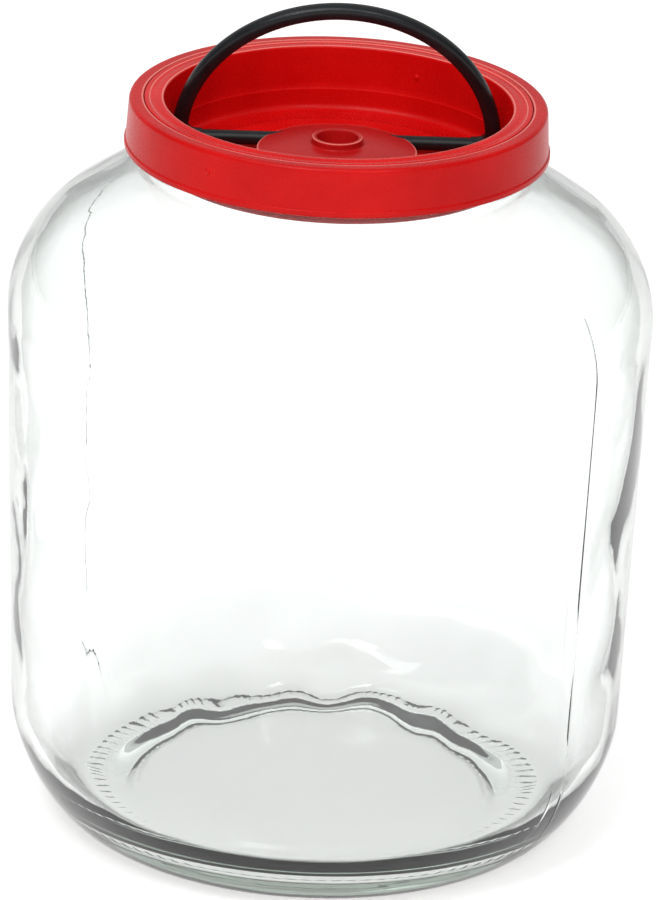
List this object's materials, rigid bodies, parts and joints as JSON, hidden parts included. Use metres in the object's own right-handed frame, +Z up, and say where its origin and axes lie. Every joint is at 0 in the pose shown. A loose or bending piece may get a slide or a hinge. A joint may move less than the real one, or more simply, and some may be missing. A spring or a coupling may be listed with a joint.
{
  "type": "glass storage jar",
  "caption": "Wide-mouthed clear glass storage jar with a dished red screw lid and a folding black carrying handle.",
  "frame": {"origin": "centre of the circle that the jar rests on", "axes": "+Z up along the jar's axis, -Y towards the front, +X to the right"},
  "size_m": [0.1889, 0.189, 0.2511],
  "materials": {
    "glass": "clear pressed soda glass with a faint green tint",
    "red_ring": "red moulded polypropylene, satin gloss",
    "red_dish": "red moulded polypropylene, satin gloss",
    "seal": "pale soft foam liner",
    "red_retainer": "red moulded polypropylene, satin gloss",
    "black_handle": "black moulded plastic, slightly glossy"
  },
  "bodies": {
    "jar": {"glass_jar": "glass"},
    "seal": {"seal_ring": "seal"},
    "lid": {"screw_ring": "red_ring", "inner_lid": "red_dish", "handle_retainer": "red_retainer"},
    "handle": {"carry_handle": "black_handle"}
  },
  "joints": [
    {"name": "lid_rise", "type": "slide", "parent": "jar", "child": "seal", "axis": [0, 0, 1], "range_m": [0, 0.0201]},
    {"name": "lid_turn", "type": "hinge", "parent": "seal", "child": "lid", "pos_m": [0, 0, 0.2], "axis": [0, 0, 1], "range_deg": [0, 900]},
    {"name": "handle_swing", "type": "hinge", "parent": "lid", "child": "handle", "pos_m": [0, 0.013, 0.2049], "axis": [1, 0, 0], "range_deg": [-22, 72]}
  ],
  "couplings": [
    {"joint": "lid_rise", "follows": "lid_turn", "m_per_rad": 0.0012732}
  ]
}
